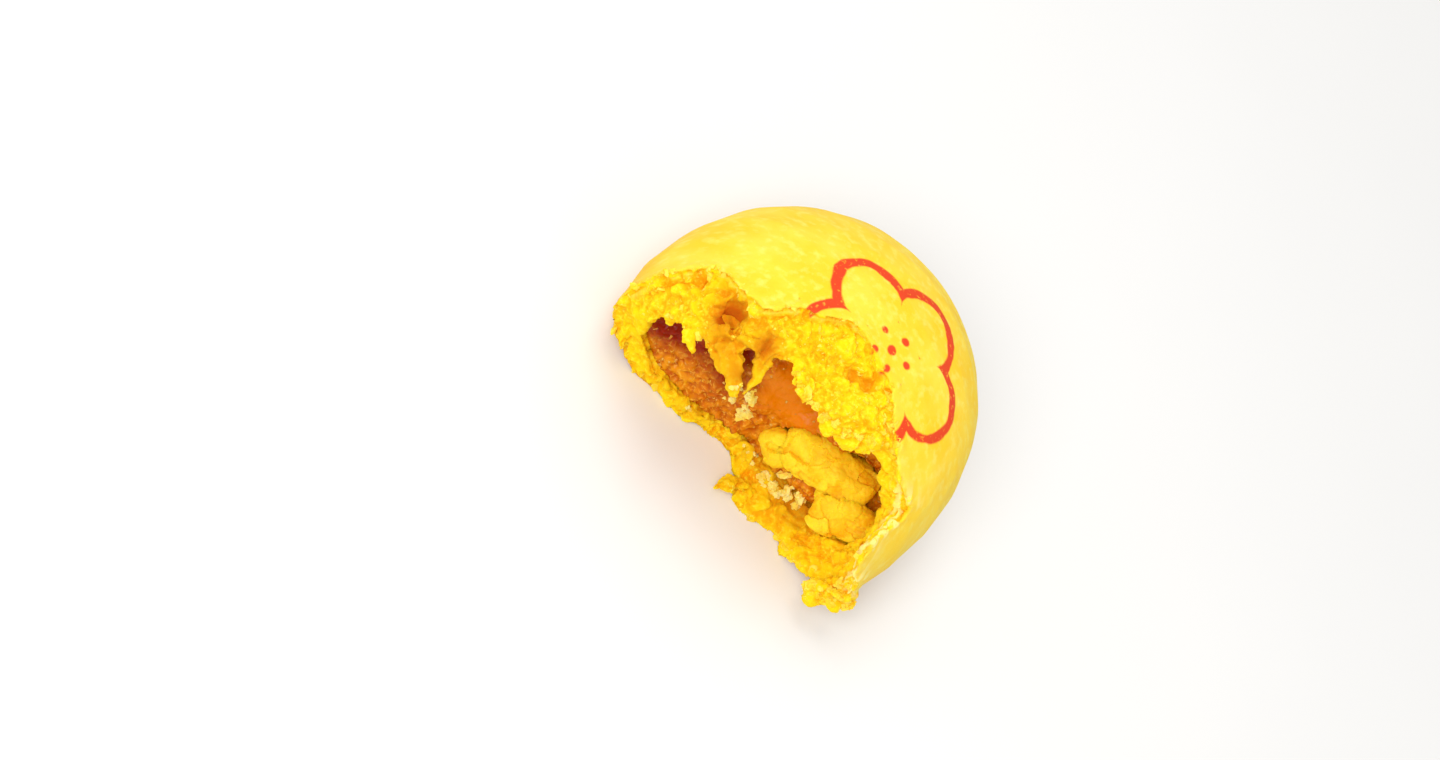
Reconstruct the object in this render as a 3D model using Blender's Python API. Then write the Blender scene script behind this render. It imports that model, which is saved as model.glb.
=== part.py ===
"""Half of a small baked pineapple custard pastry, torn open by hand.

The domed crust is a thick crumbly shell with a smooth skin. Its torn mouth looks along -Y,
the long way of the mouth runs along X, and the pastry rests on the flat of its base.
Inside lies the amber pineapple filling with pieces of yellow custard on it.
"""
import math

import bmesh
import bpy
from mathutils import Matrix, Vector, noise

MM = 0.001
SEED = 7

# Whole pastry before it was torn: a low dome, fuller below than above
HALF_WIDTH = 25.0 * MM
HALF_DEPTH = 27.1 * MM
TOP_RISE = 22.8 * MM
BOTTOM_DROP = 13.6 * MM
TOP_FULLNESS = 2.15
BOTTOM_FULLNESS = 2.4
BASE_FLAT = 1.9 * MM
BASE_ROUNDING = 0.25 * MM

# Crust wall
WALL_SIDE = 4.6 * MM
WALL_BASE = 2.7 * MM
SKIN_THICKNESS = 0.8 * MM
TORN_EDGE = 1.3 * MM
STEP = 0.3 * MM
CRUMB_SIZE = 3.1 * MM
CRUMB_RELIEF = 1.4 * MM
CRUMB_SWELL_SIZE = 4.5 * MM
CRUMB_SWELL = 0.9 * MM
CRUMB_FADE = 0.5
CRUMB_ROUND = 0.85 * HALF_WIDTH
BAND_BULGE = 0.8
INNER_DENTS = 0.5 * MM
OVERHANG_LENGTH = 2.0 * MM

# Fine jag of the torn edges: height, and how many bumps there are round the mouth
SKIN_JAG = 0.45 * MM
SKIN_JAG_WAVES = 15.3
EDGE_JAG = 0.8 * MM
EDGE_JAG_WAVES = 11.7
JAG_OFFSET = Vector((7, 3, 1))
JAG_TILT = 0.3

# Torn mouth: angle round the Y axis from +X over the top, and how far back the tear lies (mm).
# The skin breaks first, and the crumb under it hangs on further.
SKIN_TEAR = (
    (0, -7.0), (20, -10.6), (31, -10.0), (38, -4.7), (54, -6.0), (66, -4.8), (80, -2.5),
    (100, -1.7), (112, -5.7), (124, -10.0), (145, -8.5), (160, -10.0), (173, -10.8),
    (186, -11.4), (199, -10.6), (212, -9.3), (236, -7.2), (248, -6.5), (262, -4.0),
    (278, -2.6), (290, -3.9), (300, -6.6), (311, -5.6), (318, -3.6), (336, -4.2),
)
CRUMB_TEAR = (
    (0, -4.3), (20, -4.3), (40, -4.4), (56, -4.8), (66, -8.7), (76, -10.2), (91, -10.5),
    (101, -8.9), (113, -10.6), (126, -13.8), (142, -14.0), (156, -12.6), (176, -11.8),
    (196, -10.0), (212, -8.9), (230, -7.2), (248, -6.0), (262, -3.4), (280, -1.4),
    (300, -2.9), (314, -1.7), (326, 0.0), (340, -1.2),
)

# Lumps and dents in the torn crumb: angle, y, size and rise (mm, a dent is negative)
CRUMB_LUMPS = (
    (76, -8.4, 3.4, 1.6), (62, -6.5, 2.6, 1.0), (97, -7.0, 2.2, 0.9), (115, -10.4, 2.0, 0.8),
    (84, -4.2, 2.0, -0.8), (132, -11.4, 2.6, -2.2), (152, -11.6, 2.2, 0.8), (47, -5.0, 2.4, 0.8),
    (168, -11.0, 2.0, 0.7), (302, -4.6, 2.2, 0.9), (317, -2.4, 2.4, 0.9), (330, -2.6, 2.0, 0.7),
)

# The low right end was bent open a little by the tear
FLARE_ANGLE = 344.0
FLARE_SPREAD = 20.0
FLARE_RISE = 1.9 * MM
FLARE_DEPTH = 13.0 * MM

# Teeth and flakes on the edge: name, root and tip as angle, y and depth under the skin, width, bow
FLAKES = (
    ("tooth_left", (152, -12.0, 3.2), (143, -15.4, 4.2), 2.4, 0.3),
    ("flap_tip", (126, -12.0, 3.0), (114, -15.8, 5.6), 5.0, 0.5),
    ("flap_side", (135, -12.2, 3.2), (126, -15.4, 4.8), 4.6, 0.3),
    ("strand", (119, -6.8, 3.2), (109, -14.0, 6.2), 3.0, 1.3),
    ("tooth_middle", (106, -6.6, 2.7), (99, -10.6, 4.4), 2.8, 0.2),
    ("tooth_crown", (94, -9.2, 2.7), (90, -11.6, 3.6), 3.0, 0.0),
    ("ledge_left", (199, -9.6, 1.8), (204, -11.4, 1.4), 2.8, 0.0),
    ("ledge_point", (300, -5.0, 2.0), (292, -9.0, 2.0), 3.0, 0.0),
    ("edge_right", (20, -4.6, 3.0), (14, -6.6, 4.2), 2.6, 0.0),
)
FLAKE_THICKNESS = 1.9 * MM
FLAKE_SIDES = 7
FLAKE_STEPS = 4
FLAKE_RELIEF = 0.35 * MM
FLAKE_GRAIN = 1.5 * MM
FLAKE_TAPER = 0.8
FLAKE_POINT = 1.6
FLAKE_THINNING = 0.55
FLAKE_SWAY = 0.3
FLAKE_BENDS = 2.4
FLAKE_FOLLOW = 0.3

# Broken scrap that hangs from the low right end
SCRAP = (
    Vector((24.3, -6.3, 8.6)) * MM, Vector((3.3, 2.1, 1.5)) * MM,
    Vector((0.54, 0.50, 0.68)), Vector((0.2, -0.8, 0.55)), 0.75, 3, 1.5,
)

# Pineapple filling: where its front foots on the base crust along X (mm), and how it leans back
FOOT_LINE = (
    (-22, -10.2), (-14, -8.2), (-8, -6.6), (-3, -4.2), (2, -1.2), (7, -1.4), (12, -0.2),
    (17, 2.4), (23, 6.0),
)
FOOT_LEVEL = 3.0 * MM
LEAN_LINE = ((-20, 0.02), (-8, 0.10), (4, 0.24), (20, 0.26))
SHOULDER = 9.0 * MM
SHOULDER_GROWTH = 24.0
FILLING_GAP = 0.3 * MM
FILLING_CENTRE = (-1.0 * MM, 15.5 * MM)
FILLING_RIM = 1.0 / 6.0
FRUIT_SIZE = 2.4 * MM
FRUIT_RELIEF = 0.55 * MM
SWELL_SIZE = 8.0 * MM
SWELL_RELIEF = 0.9 * MM

# Custard pieces: centre, half sizes, long way, facing, corner squareness, fineness, roughness
CUSTARD = {
    "custard_slab": (
        Vector((10.8, 2.2, 12.2)) * MM, Vector((6.9, 3.1, 1.9)) * MM,
        Vector((0.90, 0.34, 0.26)), Vector((0.10, -0.80, 0.60)), 0.6, 4, 1.2,
    ),
    "custard_lump_low": (
        Vector((16.9, 1.2, 10.4)) * MM, Vector((4.6, 2.9, 1.9)) * MM,
        Vector((0.86, 0.40, 0.30)), Vector((0.10, -0.70, 0.70)), 0.65, 3, 1.3,
    ),
    "custard_lump_left": (
        Vector((4.9, -0.4, 9.0)) * MM, Vector((2.4, 2.0, 1.6)) * MM,
        Vector((0.80, 0.30, -0.40)), Vector((0.10, -0.80, 0.60)), 0.7, 3, 1.3,
    ),
}
CUSTARD_RELIEF = 0.45 * MM
CUSTARD_GRAIN = 2.2 * MM
CUSTARD_SWELL = 1.6
CUSTARD_SWELL_SIZE = 2.2 * CUSTARD_GRAIN
PIECE_GAP = 0.35 * MM

# Mesh fineness
MOUTH_SIDES = 120
OUTER_ROWS = 9
BAND_ROWS = 6
INNER_ROWS = 9
FILLING_SIDES = 64
FILLING_BACK_ROWS = 7
FILLING_FRONT_ROWS = 10
HALVINGS = 36

# Finishes: colour and roughness
BAKED_CRUST = ((0.84, 0.58, 0.05), 0.55)
PINEAPPLE_JAM = ((0.62, 0.24, 0.02), 0.3)
BAKED_CUSTARD = ((0.90, 0.56, 0.03), 0.5)


def clear_scene():
    for item in list(bpy.data.objects):
        bpy.data.objects.remove(item, do_unlink=True)


def material(name, colour, roughness):
    result = bpy.data.materials.new(name)
    result.use_nodes = True
    shader = result.node_tree.nodes["Principled BSDF"]
    shader.inputs["Base Color"].default_value = (*colour, 1.0)
    shader.inputs["Roughness"].default_value = roughness
    shader.inputs["Metallic"].default_value = 0.0
    result.diffuse_color = (*colour, 1.0)
    return result


def ease(t):
    t = min(max(t, 0.0), 1.0)
    return t * t * (3.0 - 2.0 * t)


def along_ring(knots, angle):
    """Value at an angle from knots given round the full circle."""
    angle %= 360.0
    ring = list(knots) + [(knots[0][0] + 360.0, knots[0][1])]
    for (a0, v0), (a1, v1) in zip(ring, ring[1:]):
        if a0 <= angle <= a1:
            return (v0 + (v1 - v0) * ease((angle - a0) / (a1 - a0))) * MM
    return knots[0][1] * MM


def along_line(knots, x):
    """Value at a place from knots given along a line."""
    place = min(max(x / MM, knots[0][0]), knots[-1][0])
    for (x0, v0), (x1, v1) in zip(knots, knots[1:]):
        if x0 <= place <= x1:
            return (v0 + (v1 - v0) * (place - x0) / (x1 - x0)) * MM
    return knots[-1][1] * MM


def angle_between(a, b):
    return abs((a - b + 180.0) % 360.0 - 180.0)


def lump(place, size):
    """Rounded grains with creases between them, about -0.5 to 0.5."""
    return 0.5 - noise.voronoi(place / size)[0][0]


def reach(angle, y, inset):
    """Distance from the Y axis to the pastry's surface, drawn in by the inset."""
    depth = HALF_DEPTH - inset
    if abs(y) >= depth:
        return 0.0
    turn = math.radians(angle)
    rise = math.sin(turn)
    height = (TOP_RISE if rise > 0 else BOTTOM_DROP) - inset
    fullness = TOP_FULLNESS if rise > 0 else BOTTOM_FULLNESS
    low, high = 0.0, 2.0 * HALF_WIDTH
    for _ in range(HALVINGS):
        middle = 0.5 * (low + high)
        level = math.hypot(middle * math.cos(turn) / (HALF_WIDTH - inset), y / depth)
        if level ** fullness + (middle * abs(rise) / height) ** fullness < 1.0:
            low = middle
        else:
            high = middle
    return low


def flare(angle, y):
    """How far the bent-open end stands out from the dome."""
    across = math.exp(-(angle_between(angle, FLARE_ANGLE) / FLARE_SPREAD) ** 2)
    return FLARE_RISE * across * ease(1.0 - (y - along_ring(SKIN_TEAR, angle)) / FLARE_DEPTH)


def body_point(angle, y, inset):
    """Point at a depth under the skin, with the base flattened as the baking tray left it."""
    turn = math.radians(angle)
    out = reach(angle, y, inset) + flare(angle, y)
    point = Vector((out * math.cos(turn), y, BOTTOM_DROP + out * math.sin(turn)))
    return rest_on_base(point, BASE_FLAT + inset)


def rest_on_base(point, level):
    above = point.z - level
    if above < -BASE_ROUNDING:
        above = 0.0
    elif above < BASE_ROUNDING:
        above = (above + BASE_ROUNDING) ** 2 / (4.0 * BASE_ROUNDING)
    return Vector((point.x, point.y, level + above))


def wall(angle):
    """Crust thickness, less at the base than round the sides and over the top."""
    down = max(0.0, -math.sin(math.radians(angle)))
    return WALL_SIDE + (WALL_BASE - WALL_SIDE) * down ** 2


def crumb_rise(angle, y, point):
    """Relief of the torn crumb: grains all over, and the few large lumps and dents."""
    rise = CRUMB_RELIEF * lump(point, CRUMB_SIZE) + CRUMB_SWELL * noise.noise(point / CRUMB_SWELL_SIZE)
    for lump_angle, lump_y, size, height in CRUMB_LUMPS:
        sideways = math.radians(angle_between(angle, lump_angle)) * CRUMB_ROUND
        away = math.hypot(sideways, y - lump_y * MM) / (size * MM)
        rise += height * MM * math.exp(-away ** 2)
    return rise


def crust_profile(angle):
    """Points from the middle of the back, over the skin and the torn band, to the inside."""
    turn = math.radians(angle)
    place = Vector((math.cos(turn), math.sin(turn), JAG_TILT))
    skin_y = along_ring(SKIN_TEAR, angle) + SKIN_JAG * noise.noise(place * SKIN_JAG_WAVES)
    edge_y = along_ring(CRUMB_TEAR, angle) + EDGE_JAG * noise.noise(place * EDGE_JAG_WAVES + JAG_OFFSET)
    thick = wall(angle)
    points = []
    for row in range(1, OUTER_ROWS + 1):
        y = skin_y + (HALF_DEPTH - skin_y) * math.cos(math.pi / 2 * row / OUTER_ROWS)
        points.append(body_point(angle, y, 0.0))
    points.append(body_point(angle, skin_y + STEP, SKIN_THICKNESS))
    overhang = ease(0.5 + (skin_y - edge_y) / OVERHANG_LENGTH)
    start_y = skin_y + STEP * (1.0 - 2.0 * overhang)
    for row in range(1, BAND_ROWS + 1):
        part = row / BAND_ROWS
        y = start_y + (edge_y - start_y) * part
        inset = SKIN_THICKNESS + (thick - TORN_EDGE - SKIN_THICKNESS) * part ** BAND_BULGE
        rise = crumb_rise(angle, y, body_point(angle, y, inset)) * (1.0 - CRUMB_FADE * part)
        inset += rise * (1.0 - 2.0 * overhang)
        inset = min(max(inset, 0.5 * SKIN_THICKNESS), thick - 0.7 * TORN_EDGE * overhang)
        points.append(body_point(angle, y, inset))
    edge_inset = thick - 0.5 * TORN_EDGE * overhang
    points.append(body_point(angle, edge_y + STEP * (0.5 - 1.5 * overhang), edge_inset))
    inner_back = HALF_DEPTH - thick
    for row in range(INNER_ROWS):
        y = edge_y + STEP + (inner_back - edge_y - STEP) * math.sin(math.pi / 2 * row / INNER_ROWS)
        base = body_point(angle, y, thick)
        hollow = INNER_DENTS * max(0.0, lump(base, CRUMB_SIZE)) if row else 0.0
        points.append(body_point(angle, y, thick - hollow))
    return points


def face_outwards(mesh):
    bmesh.ops.triangulate(mesh, faces=mesh.faces)
    bmesh.ops.recalc_face_normals(mesh, faces=mesh.faces)
    if mesh.calc_volume(signed=True) < 0.0:
        bmesh.ops.reverse_faces(mesh, faces=mesh.faces)


def ringed_mesh(sides, profile, back, front):
    """Closed mesh on a sphere's rings: one profile for each angle, and a point at each pole."""
    profiles = [profile(360.0 * side / sides) for side in range(sides)]
    rows = len(profiles[0])
    mesh = bmesh.new()
    bmesh.ops.create_uvsphere(mesh, u_segments=sides, v_segments=rows + 1, radius=1.0)
    for vert in mesh.verts:
        row = round(math.acos(max(-1.0, min(1.0, vert.co.z))) / math.pi * (rows + 1))
        side = round(math.atan2(vert.co.y, vert.co.x) / math.tau * sides) % sides
        if row == 0:
            vert.co = back
        elif row == rows + 1:
            vert.co = front
        else:
            vert.co = profiles[side][row - 1]
    face_outwards(mesh)
    return mesh


def add_object(name, mesh, finish):
    data = bpy.data.meshes.new(name)
    mesh.to_mesh(data)
    mesh.free()
    if finish:
        data.materials.append(finish)
    data.shade_smooth()
    item = bpy.data.objects.new(name, data)
    bpy.context.collection.objects.link(item)
    return item


def flake(root, tip, width, bow):
    """Tapered, bowed wedge of crumb that follows the dome from its root to its tip."""
    mesh = bmesh.new()
    bmesh.ops.create_cone(
        mesh, cap_ends=True, cap_tris=True, segments=FLAKE_SIDES, radius1=0.5, radius2=0.5, depth=1.0,
    )
    lengthways = [e for e in mesh.edges if abs(e.verts[0].co.z - e.verts[1].co.z) > 0.5]
    bmesh.ops.subdivide_edges(mesh, edges=lengthways, cuts=FLAKE_STEPS)
    root_point = body_point(root[0], root[1] * MM, root[2] * MM)
    tip_point = body_point(tip[0], tip[1] * MM, tip[2] * MM)
    axis = tip_point - root_point
    middle = 0.5 * (root_point + tip_point)
    outward = Vector((middle.x, FLAKE_FOLLOW * middle.y, middle.z - BOTTOM_DROP)).normalized()
    sideways = axis.cross(outward).normalized()
    outward = sideways.cross(axis).normalized()
    for vert in mesh.verts:
        part = vert.co.z + 0.5
        taper = 1.0 - FLAKE_TAPER * part ** FLAKE_POINT
        sway = FLAKE_SWAY * width * MM * noise.noise(Vector((part * FLAKE_BENDS, root[0], tip[1])))
        place = root_point + axis * part + outward * bow * MM * math.sin(math.pi * part)
        place += sideways * (vert.co.y * width * MM * taper + sway)
        place += outward * vert.co.x * FLAKE_THICKNESS * (1.0 - FLAKE_THINNING * part)
        place += FLAKE_RELIEF * noise.noise_vector(place / FLAKE_GRAIN)
        vert.co = rest_on_base(place, BASE_FLAT)
    face_outwards(mesh)
    return mesh


def chunk(centre, half, along, facing, square, fineness, rough, grow=0.0):
    """Broken lump: a rounded block with a grained surface, set along its own axes."""
    along = along.normalized()
    across = facing.cross(along).normalized()
    facing = along.cross(across).normalized()
    axes = Matrix((along, across, facing)).transposed()
    mesh = bmesh.new()
    bmesh.ops.create_icosphere(mesh, subdivisions=fineness, radius=1.0)
    for vert in mesh.verts:
        ball = vert.co.copy()
        block = Vector([math.copysign(abs(value) ** square, value) for value in ball])
        local = Vector([block[k] * half[k] for k in range(3)])
        place = centre + axes @ local
        rise = lump(place, CUSTARD_GRAIN) + CUSTARD_SWELL * noise.noise(place / CUSTARD_SWELL_SIZE)
        vert.co = place + (axes @ ball) * (CUSTARD_RELIEF * rough * rise + grow)
    face_outwards(mesh)
    return mesh


def outer_shell_only(data):
    """Drop loose scraps and fill sealed hollows: only the largest connected shell stays."""
    mesh = bmesh.new()
    mesh.from_mesh(data)
    waiting = set(mesh.verts)
    shells = []
    while waiting:
        shell = [waiting.pop()]
        for vert in shell:
            for edge in vert.link_edges:
                other = edge.other_vert(vert)
                if other in waiting:
                    waiting.remove(other)
                    shell.append(other)
        shells.append(shell)
    shells.sort(key=len)
    for shell in shells[:-1]:
        bmesh.ops.delete(mesh, geom=shell, context="VERTS")
    mesh.to_mesh(data)
    mesh.free()


def boolean(target, operands, operation):
    """Join or cut with every operand at once, apply it, and take the operands away."""
    group = bpy.data.collections.new(target.name + "_operands")
    bpy.context.scene.collection.children.link(group)
    for item in operands:
        bpy.context.collection.objects.unlink(item)
        group.objects.link(item)
    step = target.modifiers.new("join", "BOOLEAN")
    step.operation = operation
    step.operand_type = "COLLECTION"
    step.collection = group
    step.solver = "MANIFOLD"
    shaped = target.evaluated_get(bpy.context.evaluated_depsgraph_get())
    result = bpy.data.meshes.new_from_object(shaped)
    target.modifiers.clear()
    outer_shell_only(result)
    target.data = result
    for item in operands:
        bpy.data.objects.remove(item, do_unlink=True)
    bpy.data.collections.remove(group)


def filling_front(x, z):
    """How far back the filling's front lies at a place seen from the mouth."""
    up = max(z - FOOT_LEVEL, 0.0)
    over = max(z - SHOULDER, 0.0)
    return along_line(FOOT_LINE, x) + along_line(LEAN_LINE, x) / MM * up + SHOULDER_GROWTH * over ** 2


def filling_profile(angle):
    """Points from the middle of the back, along the crust, then over the front to its middle."""
    inset = wall(angle) + FILLING_GAP
    low, high = -HALF_DEPTH + inset, HALF_DEPTH - inset
    for _ in range(HALVINGS):
        middle = 0.5 * (low + high)
        point = body_point(angle, middle, inset)
        if middle < filling_front(point.x, point.z):
            low = middle
        else:
            high = middle
    rim_y = high
    points = []
    for row in range(1, FILLING_BACK_ROWS + 1):
        y = rim_y + (HALF_DEPTH - inset - rim_y) * math.cos(math.pi / 2 * row / FILLING_BACK_ROWS)
        points.append(body_point(angle, y, inset))
    rim = points[-1].copy()
    for row in range(1, FILLING_FRONT_ROWS):
        part = row / FILLING_FRONT_ROWS
        x = rim.x + (FILLING_CENTRE[0] - rim.x) * part
        z = rim.z + (FILLING_CENTRE[1] - rim.z) * part
        points.append(front_point(x, z, part))
    return points


def front_point(x, z, part):
    point = Vector((x, filling_front(x, z), z))
    shown = ease(part / FILLING_RIM)
    point.y -= FRUIT_RELIEF * shown * lump(point, FRUIT_SIZE)
    point.y -= SWELL_RELIEF * shown * noise.noise(point / SWELL_SIZE)
    return point


def build_crust(finish):
    thick = wall(90.0)
    back = Vector((0.0, HALF_DEPTH, BOTTOM_DROP))
    inside = Vector((0.0, HALF_DEPTH - thick, BOTTOM_DROP))
    crust = add_object("crust", ringed_mesh(MOUTH_SIDES, crust_profile, back, inside), finish)
    pieces = []
    for name, root, tip, width, bow in FLAKES:
        pieces.append(add_object(name, flake(root, tip, width, bow), None))
    pieces.append(add_object("scrap", chunk(*SCRAP), None))
    boolean(crust, pieces, "UNION")
    return crust


def build_filling(finish):
    inset = wall(90.0) + FILLING_GAP
    back = Vector((0.0, HALF_DEPTH - inset, BOTTOM_DROP))
    front = front_point(*FILLING_CENTRE, 1.0)
    mesh = ringed_mesh(FILLING_SIDES, filling_profile, back, front)
    return add_object("pineapple_filling", mesh, finish)


def cutters(names):
    """Grown copies of custard pieces, which leave a small gap where they cut."""
    return [add_object("cut_" + name, chunk(*CUSTARD[name], grow=PIECE_GAP), None) for name in names]


def centre_on_base(items):
    """Put the middle of the underside at the origin."""
    corners = [vert.co for item in items for vert in item.data.vertices]
    low = Vector([min(corner[k] for corner in corners) for k in range(3)])
    high = Vector([max(corner[k] for corner in corners) for k in range(3)])
    shift = Vector((-(low.x + high.x) / 2, -(low.y + high.y) / 2, -low.z))
    for item in items:
        item.data.transform(Matrix.Translation(shift))
    print("shift", [round(value / MM, 3) for value in shift], "size",
          [round(value / MM, 2) for value in high - low])


def main():
    clear_scene()
    noise.seed_set(SEED)
    baked = material("baked_crust", *BAKED_CRUST)
    fruit = material("pineapple_jam", *PINEAPPLE_JAM)
    custard = material("custard", *BAKED_CUSTARD)
    crust = build_crust(baked)
    filling = build_filling(fruit)
    boolean(filling, cutters(CUSTARD), "DIFFERENCE")
    boolean(crust, cutters(["custard_lump_low"]), "DIFFERENCE")
    pieces = {name: add_object(name, chunk(*CUSTARD[name]), custard) for name in CUSTARD}
    boolean(pieces["custard_lump_low"], cutters(["custard_slab"]), "DIFFERENCE")
    boolean(pieces["custard_lump_left"], cutters(["custard_slab"]), "DIFFERENCE")
    centre_on_base([crust, filling, *pieces.values()])


main()
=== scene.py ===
import math
import random

import bmesh
import bpy
from mathutils import Matrix, Vector, noise


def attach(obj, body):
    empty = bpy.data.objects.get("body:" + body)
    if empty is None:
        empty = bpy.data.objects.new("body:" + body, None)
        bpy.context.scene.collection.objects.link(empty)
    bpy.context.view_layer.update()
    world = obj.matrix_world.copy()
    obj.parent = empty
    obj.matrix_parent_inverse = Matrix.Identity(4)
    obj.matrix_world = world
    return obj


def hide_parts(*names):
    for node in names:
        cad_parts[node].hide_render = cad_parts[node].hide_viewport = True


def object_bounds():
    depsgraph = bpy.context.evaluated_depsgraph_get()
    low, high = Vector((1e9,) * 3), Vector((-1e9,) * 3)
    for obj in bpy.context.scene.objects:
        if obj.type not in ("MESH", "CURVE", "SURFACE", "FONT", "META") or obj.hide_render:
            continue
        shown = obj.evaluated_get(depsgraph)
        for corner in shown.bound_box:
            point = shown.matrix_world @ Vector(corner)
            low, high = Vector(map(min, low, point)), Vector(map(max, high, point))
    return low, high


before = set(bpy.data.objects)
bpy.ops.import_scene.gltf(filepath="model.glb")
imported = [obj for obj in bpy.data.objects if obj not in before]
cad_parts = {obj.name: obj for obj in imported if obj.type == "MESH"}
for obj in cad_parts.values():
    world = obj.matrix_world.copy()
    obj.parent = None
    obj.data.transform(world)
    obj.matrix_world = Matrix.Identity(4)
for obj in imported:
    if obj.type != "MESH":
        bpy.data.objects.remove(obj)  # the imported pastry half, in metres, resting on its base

mm = 0.001
cadLow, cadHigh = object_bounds()
print("frame loaded")

# The whole pastry that the half was torn from, in mm
pastry = dict(
    halfWidth=25.0, halfDepth=27.1, topRise=22.8, bottomDrop=13.6, baseFlat=1.9, topFullness=2.15,
    bottomFullness=2.4)
pastryCentre = Vector((cadLow.x + pastry["halfWidth"] * mm,
                       cadHigh.y - pastry["halfDepth"] * mm,
                       (pastry["bottomDrop"] - pastry["baseFlat"]) * mm))

# Where the skin ends: angle over the top from +X in degrees, y in mm from the whole pastry's middle
skinTear = ((0, -7.0), (20, -10.6), (31, -10.0), (38, -4.7), (54, -6.0), (66, -4.8), (80, -2.5),
            (100, -1.7), (112, -5.7), (124, -10.0), (145, -8.5), (160, -10.0), (173, -10.8),
            (186, -11.4), (199, -10.6), (212, -9.3), (236, -7.2), (248, -6.5), (262, -4.0),
            (278, -2.6), (290, -3.9), (300, -6.6), (311, -5.6), (318, -3.6), (336, -4.2), (360, -7.0))


def ease(low, high, value):  # 0 at low, 1 at high, smooth between
    part = min(max((value - low) / (high - low), 0.0), 1.0)
    return part * part * (3.0 - 2.0 * part)


def tearAt(angle):  # y of the skin's edge, in mm
    for (low, y), (high, nextY) in zip(skinTear, skinTear[1:]):
        if low <= angle <= high:
            return y + (nextY - y) * ease(low, high, angle)
    return skinTear[0][1]


def onPastry(point):  # angle over the top, y and depth under the skin, in degrees and mm
    q = (point - pastryCentre) / mm
    rise, full = pastry["topRise"], pastry["topFullness"]
    if q.z < 0:
        rise, full = pastry["bottomDrop"], pastry["bottomFullness"]
    level = math.hypot(q.x / pastry["halfWidth"], q.y / pastry["halfDepth"])
    share = (level ** full + abs(q.z / rise) ** full) ** (1.0 / full)
    return math.degrees(math.atan2(q.z, q.x)) % 360.0, q.y, (1.0 - share) * q.length / max(share, 0.01)


def wave(point, size):  # soft swell, about -0.5 to 0.5
    return noise.noise(point / (size * mm))


def clods(point, size):  # 0 in the creases between lumps of this size, 1 on the lumps
    place = point / (size * mm)
    aside = noise.noise(place * 1.3 + Vector((7, 3, 5)))
    sway = Vector((noise.noise(place * 1.3), aside, noise.noise(place * 1.1)))
    near = noise.voronoi(place + sway * 0.7)[0]
    return ease(0.0, 0.55, near[1] - near[0])


def beads(point, size):  # rounded grains of this size, 1 on top and 0 between them
    place = point / (size * mm)
    place += Vector((noise.noise(place * 0.9), noise.noise(place * 0.8 + Vector((4, 9, 2))), 0.0)) * 0.4
    return max(1.0 - (noise.voronoi(place)[0][0] / 0.72) ** 2, 0.0)


def shards(point, size):  # broken faces that stand at uneven heights, about -0.5 to 0.5
    place = point / (size * mm)
    place += Vector((noise.noise(place * 1.7), noise.noise(place * 1.9), 0.0)) * 0.35
    return noise.noise(noise.voronoi(place)[1][0] * 7.3)


def bumps(point, spots):  # sum of soft spots, each with its place, radius and strength
    return sum(rise * math.exp(-((point - spot).length / (radius * mm)) ** 2)
               for spot, radius, rise in spots)


def mergedCopy(nodeName, name):  # a CAD node is loose triangles, so their corners are joined first
    shape = bmesh.new()
    shape.from_mesh(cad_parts[nodeName].data)
    bmesh.ops.remove_doubles(shape, verts=shape.verts, dist=0.002 * mm)
    return addPiece(name, shape)


def addPiece(name, shape):
    mesh = bpy.data.meshes.new(name)
    shape.to_mesh(mesh)
    shape.free()
    piece = bpy.data.objects.new(name, mesh)
    bpy.context.scene.collection.objects.link(piece)
    return piece


def applyModifiers(piece):
    finished = piece.evaluated_get(bpy.context.evaluated_depsgraph_get())
    result = bpy.data.meshes.new_from_object(finished)
    piece.modifiers.clear()
    piece.data = result


def remesh(piece, voxel):
    step = piece.modifiers.new("fineMesh", "REMESH")
    step.mode = "VOXEL"
    step.voxel_size = voxel * mm
    applyModifiers(piece)


def thin(piece, triangles):
    now = sum(len(face.vertices) - 2 for face in piece.data.polygons)
    if now > triangles:
        step = piece.modifiers.new("thin", "DECIMATE")
        step.ratio = triangles / now
        applyModifiers(piece)


def thickness(piece, point, normal):  # mm of food behind a point of its surface
    hit, spot = piece.ray_cast(point - normal * 0.05 * mm, -normal)[:2]
    return (spot - point).length / mm if hit else 9.0


shelterRays = ((0, 0, 1), (1, 0, 0.6), (-1, 0, 0.6), (0, 1, 0.6), (0, -1, 0.6))  # out and aslant


def shelter(piece, point, normal, reach):  # share of the space in front of a point that is closed off
    turn = normal.to_track_quat("Z", "Y")
    rays = [Vector(ray).normalized() for ray in shelterRays]
    start = point + normal * 0.1 * mm
    return sum(piece.ray_cast(start, turn @ ray, distance=reach * mm)[0] for ray in rays) / len(rays)


def inBox(spot):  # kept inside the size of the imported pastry
    return Vector([min(max(c, a), b) for c, a, b in zip(spot, cadLow, cadHigh)])


def sculpt(piece, move):  # move gives a height along the normal in mm, and tones to keep by name
    mesh = piece.data
    placed = []
    tones = {}
    for vert in mesh.vertices:
        height, kept = move(vert.co, vert.normal)
        placed.extend(inBox(vert.co + vert.normal * height * mm))
        for tone, value in kept.items():
            tones.setdefault(tone, []).append(value)
    mesh.vertices.foreach_set("co", placed)
    for tone, values in tones.items():
        mesh.attributes.new(tone, "FLOAT", "POINT").data.foreach_set("value", values)
    mesh.update()


def finishPiece(piece, material, slot, *nodes):
    piece.data.materials.clear()
    piece.data.materials.append(material)
    piece.data.shade_smooth()
    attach(piece, "root")
    if nodes:
        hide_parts(*nodes)
    print(piece.name, sum(len(face.vertices) - 2 for face in piece.data.polygons), "triangles")


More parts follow.
